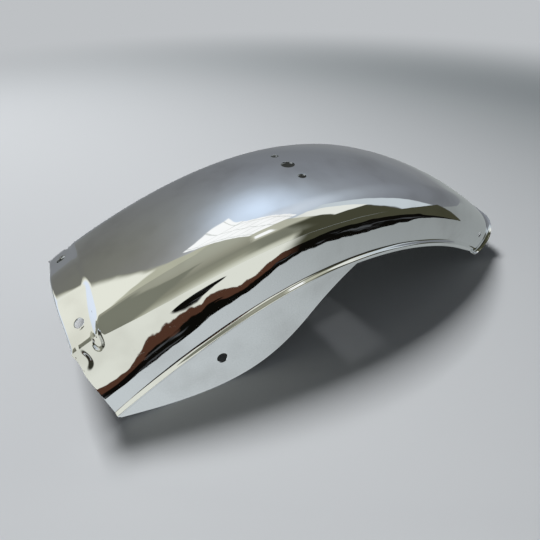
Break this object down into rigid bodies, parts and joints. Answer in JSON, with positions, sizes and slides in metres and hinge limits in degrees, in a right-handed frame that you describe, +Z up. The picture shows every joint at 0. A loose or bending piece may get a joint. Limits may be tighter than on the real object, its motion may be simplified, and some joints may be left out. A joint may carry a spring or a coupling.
{
  "type": "motorcycle rear mudguard",
  "caption": "Arched chrome sheet-metal rear mudguard with rolled shoulders, beaded lower edges, deep front mounting lugs and a stepped front tongue.",
  "frame": {"origin": "centre of the cable hole, on the outer face of the crown", "axes": "+X along the guard towards the tail, +Y to the right side for a rider who faces forward, +Z up, out of the crown"},
  "size_m": [0.4487, 0.1676, 0.1346],
  "materials": {
    "chrome": "mirror polished chrome plate on steel"
  },
  "bodies": {
    "root": {"mudguard": "chrome"}
  },
  "joints": []
}
